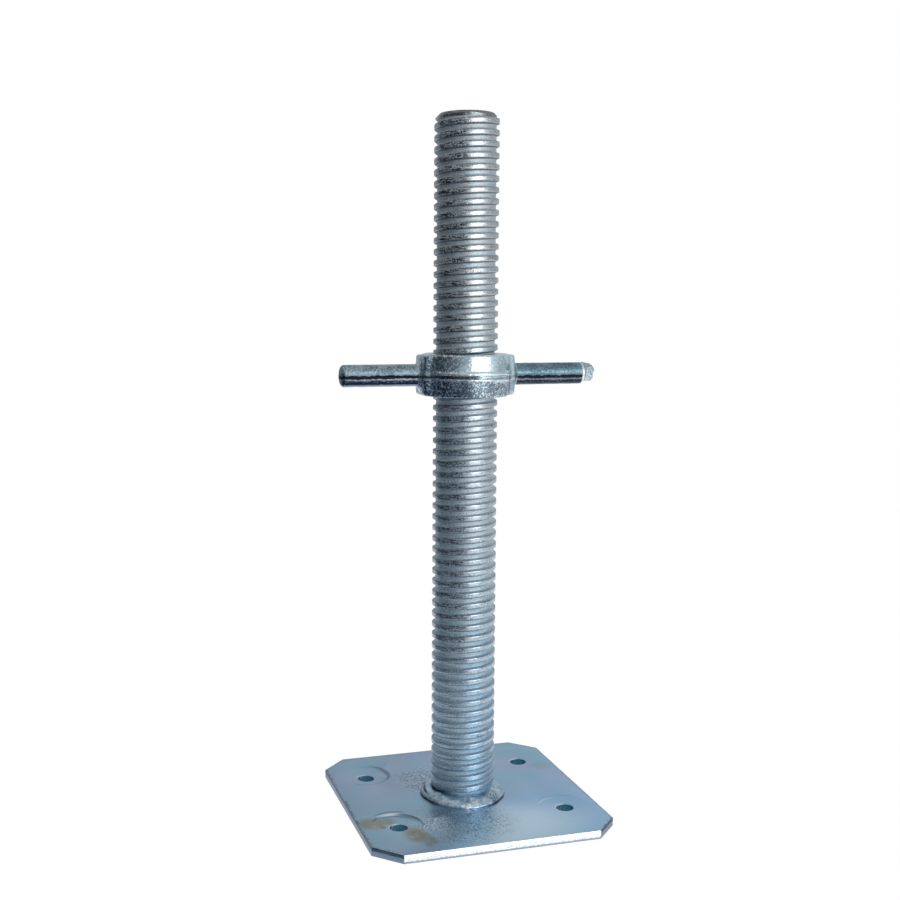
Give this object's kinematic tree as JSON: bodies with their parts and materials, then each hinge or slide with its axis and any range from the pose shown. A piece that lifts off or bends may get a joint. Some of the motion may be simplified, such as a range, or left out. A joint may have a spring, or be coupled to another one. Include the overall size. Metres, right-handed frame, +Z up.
{
  "type": "scaffold base jack",
  "caption": "Square steel foot plate with corner cuts and anchor holes, a welded hollow screw stem with a rolled thread, and a cast collar nut with two bar handles.",
  "frame": {"origin": "middle of the foot plate's underside, on the stem's axis", "axes": "+Z up the stem; X along one side of the plate and along the nut's handles; Y along the other side of the plate"},
  "size_m": [0.158, 0.145, 0.41],
  "materials": {
    "plate_steel": "zinc plated, pale blue-grey, stained near the front hole",
    "stem_steel": "zinc plated rolled thread, matte roots and speckled bright crests",
    "weld_steel": "zinc plated weld bead, lumpy",
    "nut_iron": "zinc plated casting, bright blue-grey with dark mottling"
  },
  "bodies": {
    "base": {"base_plate": "plate_steel", "screw_stem": "stem_steel", "foot_weld": "weld_steel"},
    "nut": {"handle_nut": "nut_iron"}
  },
  "joints": [
    {"name": "nut_travel", "type": "slide", "parent": "base", "child": "nut", "axis": [0, 0, 1], "range_m": [-0.234, 0.117]}
  ]
}
